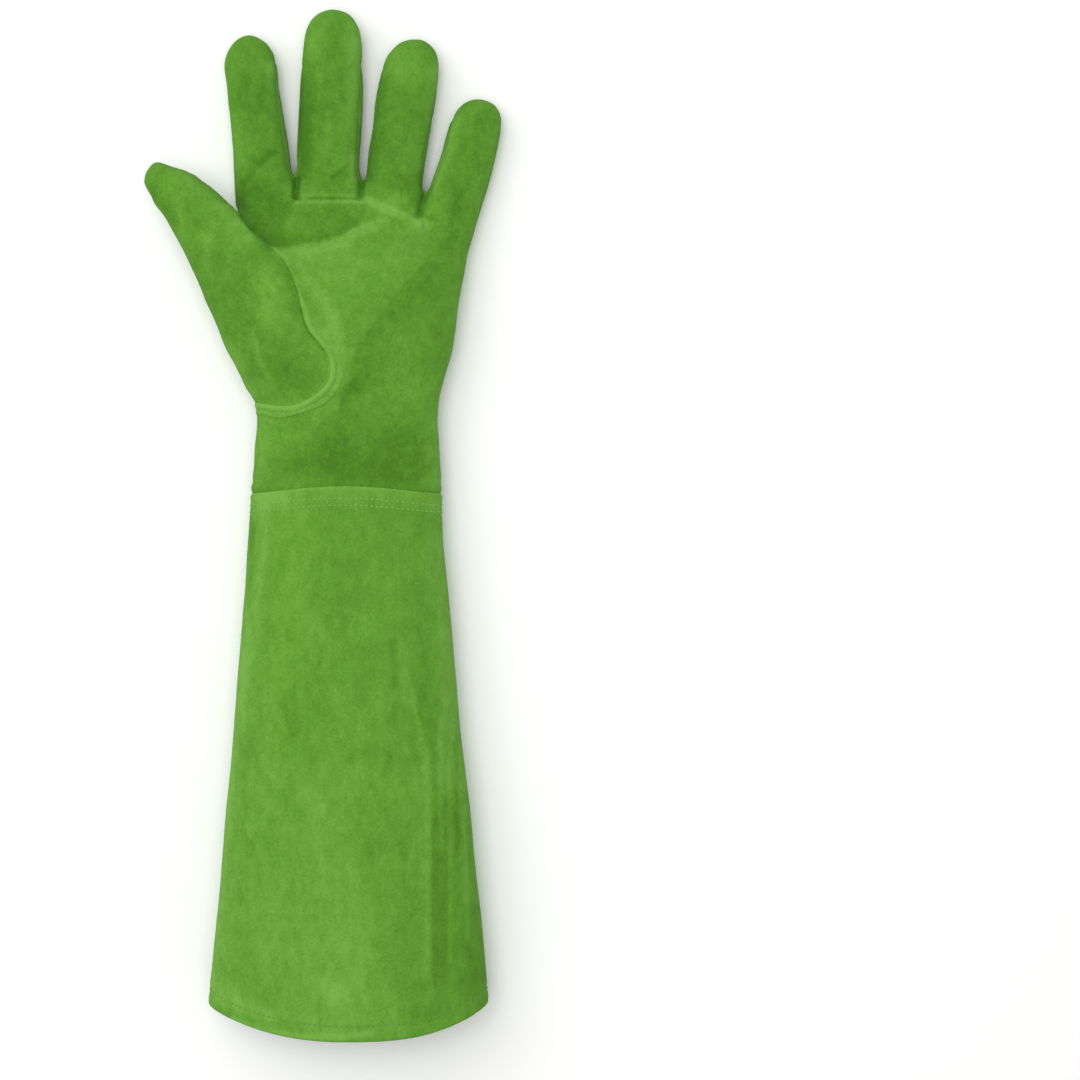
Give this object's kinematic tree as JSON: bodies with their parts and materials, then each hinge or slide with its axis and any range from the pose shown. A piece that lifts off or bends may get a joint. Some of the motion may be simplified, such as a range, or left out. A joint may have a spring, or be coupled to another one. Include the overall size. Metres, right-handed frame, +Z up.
{
  "type": "pruning glove",
  "caption": "Left-hand gauntlet pruning glove of green split leather: long flared cuff, cross-seamed palm and welted thumb, lying palm up.",
  "frame": {"origin": "on the surface that the glove lies on, under the middle of its bounding box", "axes": "+Y from the cuff's hem towards the fingertips, +X from the thumb's side to the little finger's, +Z up out of the palm"},
  "size_m": [0.1612, 0.477, 0.0513],
  "materials": {
    "palm_panel_leather": "split suede, dyed grass green, dull nap",
    "middle_ring_front_leather": "split suede, dyed grass green, dull nap",
    "back_panel_leather": "split suede, dyed grass green, dull nap",
    "fourchette_index_middle_leather": "split suede, dyed grass green, dull nap",
    "fourchette_middle_ring_leather": "split suede, dyed grass green, dull nap",
    "fourchette_ring_little_leather": "split suede, dyed grass green, dull nap",
    "thumb_leather": "split suede, dyed grass green, dull nap",
    "thumb_welt_leather": "split suede, dyed grass green, dull nap",
    "cuff_leather": "split suede, dyed grass green, dull nap"
  },
  "bodies": {
    "root": {"palm_panel": "palm_panel_leather", "middle_ring_front": "middle_ring_front_leather", "back_panel": "back_panel_leather", "fourchette_index_middle": "fourchette_index_middle_leather", "fourchette_middle_ring": "fourchette_middle_ring_leather", "fourchette_ring_little": "fourchette_ring_little_leather", "thumb": "thumb_leather", "thumb_welt": "thumb_welt_leather", "cuff": "cuff_leather"}
  },
  "joints": []
}
